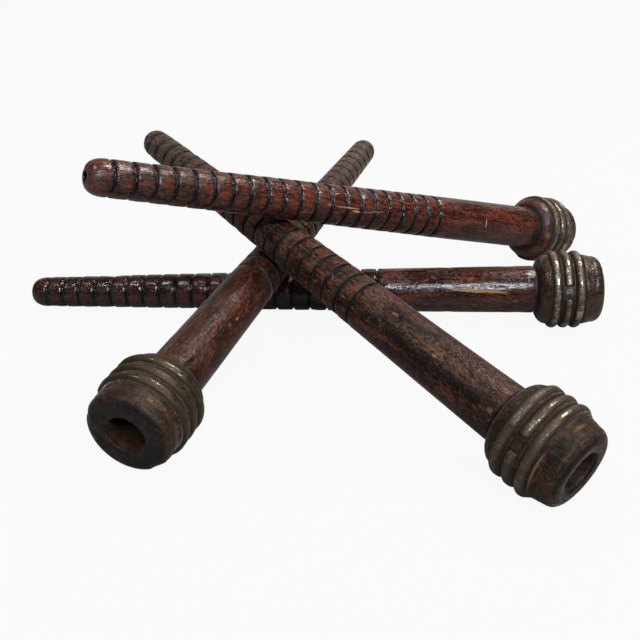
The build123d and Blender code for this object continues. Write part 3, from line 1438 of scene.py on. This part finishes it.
def umber_wood() -> VarnishedWood:
    """The right bobbin: dark brown, dull, speckled with wear along a dark band.

    Returns:
        The finish.
    """
    return VarnishedWood(
        slot="wood_umber",
        dark=(0.0050, 0.0018, 0.0014, 1), middle=(0.032, 0.0090, 0.0058, 1),
        light=(0.110, 0.032, 0.017, 1),
        stained=0.75, scuffed=0.45, speckled=0.60, scratched=0.56, faded_tip=0.5, gloss=0.38, shine=0.18,
        relief=0.65, dust=0.26,
        marks=(
            Mark(158, 57, 27, 2.6, SOOT_AND_SHADE, ragged=3.6, broken=0.2, strength=0.95),
            Mark(158, 36, 17, 2.2, RUBBED_BROWN, ragged=4.4, broken=0.95, strength=0.7),
            Mark(140.4, 22.6, 1.3, 0.4, PALE_WOOD, strength=0.5),
            Mark(157.9, 42.9, 0.7, 0.5, PALE_WOOD, strength=0.7),
            Mark(178.9, 58.5, 1.0, 0.7, OCHRE, strength=0.8),
            Mark(196.9, 84.0, 0.30, 7.5, PALE_WOOD, strength=0.4, ragged=1.6),
            Mark(199.0, 50.0, 2.2, 4.5, SOOT_AND_SHADE, ragged=3.2, broken=0.5, strength=0.75),
            Mark(198.5, 5.0, 0.5, 1.8, OCHRE, ragged=2.2, strength=0.8),
        ),
    )


def mahogany_wood() -> VarnishedWood:
    """The top bobbin: red-brown and glossy, with pale scratches along one side.

    Returns:
        The finish.
    """
    return VarnishedWood(
        slot="wood_mahogany",
        dark=(0.010, 0.0025, 0.0020, 1), middle=(0.072, 0.0135, 0.0075, 1),
        light=(0.165, 0.037, 0.018, 1),
        stained=0.50, scuffed=0.12, speckled=0.30, reddened=0.75, faded_tip=0.15, gloss=0.19, relief=0.42,
        dust=0.16,
        marks=(
            Mark(77.5, 78.2, 1.2, 0.25, TAN_SCRATCH, strength=0.5),
            Mark(85.2, 80.9, 5.2, 0.20, TAN_SCRATCH, strength=0.8),
            Mark(88.6, 89.3, 2.0, 0.42, TAN_SCRATCH, lean=0.08),
            Mark(95.0, 86.0, 4.8, 0.18, TAN_SCRATCH, lean=-0.12, strength=0.7),
            Mark(99.5, 66.8, 3.6, 0.5, EMBER, strength=0.7),
            Mark(150.3, 77.7, 0.30, 2.1, TAN_SCRATCH, strength=0.9, ragged=1.6),
            Mark(174.4, 62.3, 0.8, 0.4, OCHRE, strength=0.8),
            Mark(183.5, 90.0, 1.1, 1.3, OCHRE),
        ),
    )


def the_stack() -> list[Bobbin]:
    """The four bobbins, from the floor up.

    Returns:
        The bobbins.
    """
    wire = TarnishedWire()
    grimy_wire = TarnishedWire(bright=(0.140, 0.107, 0.070, 1), dull=(0.062, 0.040, 0.023, 1),
                               tarnished=0.8, caked=0.55, buried=0.45, relief=0.25)
    caked_wire = TarnishedWire(bright=(0.200, 0.165, 0.120, 1), dull=(0.085, 0.060, 0.040, 1),
                               tarnished=0.8, caked=0.65, buried=0.6, relief=0.25)
    return [
        Bobbin("base_bobbin", black_brown_wood(), wire, degrees_by_place(200, 71, 310), seed=3.1,
               silt=0.2 * MM),
        Bobbin("left_bobbin", russet_wood(), grimy_wire, degrees_by_place(75, 185, 120), seed=17.4,
               silt=0.4 * MM, sizes=BobbinSizes(collar_end_radius=12.15 * MM, end_round=2.3 * MM,
                                                lip=0.45 * MM)),
        Bobbin("right_bobbin", umber_wood(), caked_wire, degrees_by_place(190, 64, 265), seed=41.9,
               silt=0.75 * MM, sizes=BobbinSizes(lip=1.3 * MM)),
        Bobbin("top_bobbin", mahogany_wood(), wire, degrees_by_place(300, 240, 200), seed=66.2),
    ]


def main() -> None:
    """Build the bobbins and the studio."""
    logging.basicConfig(level=logging.INFO, format="%(name)s: %(message)s")
    shelf = EffectShelf()
    for bobbin in the_stack():
        bobbin.build(shelf)
    Studio().build()


if __name__ == "__main__":
    main()
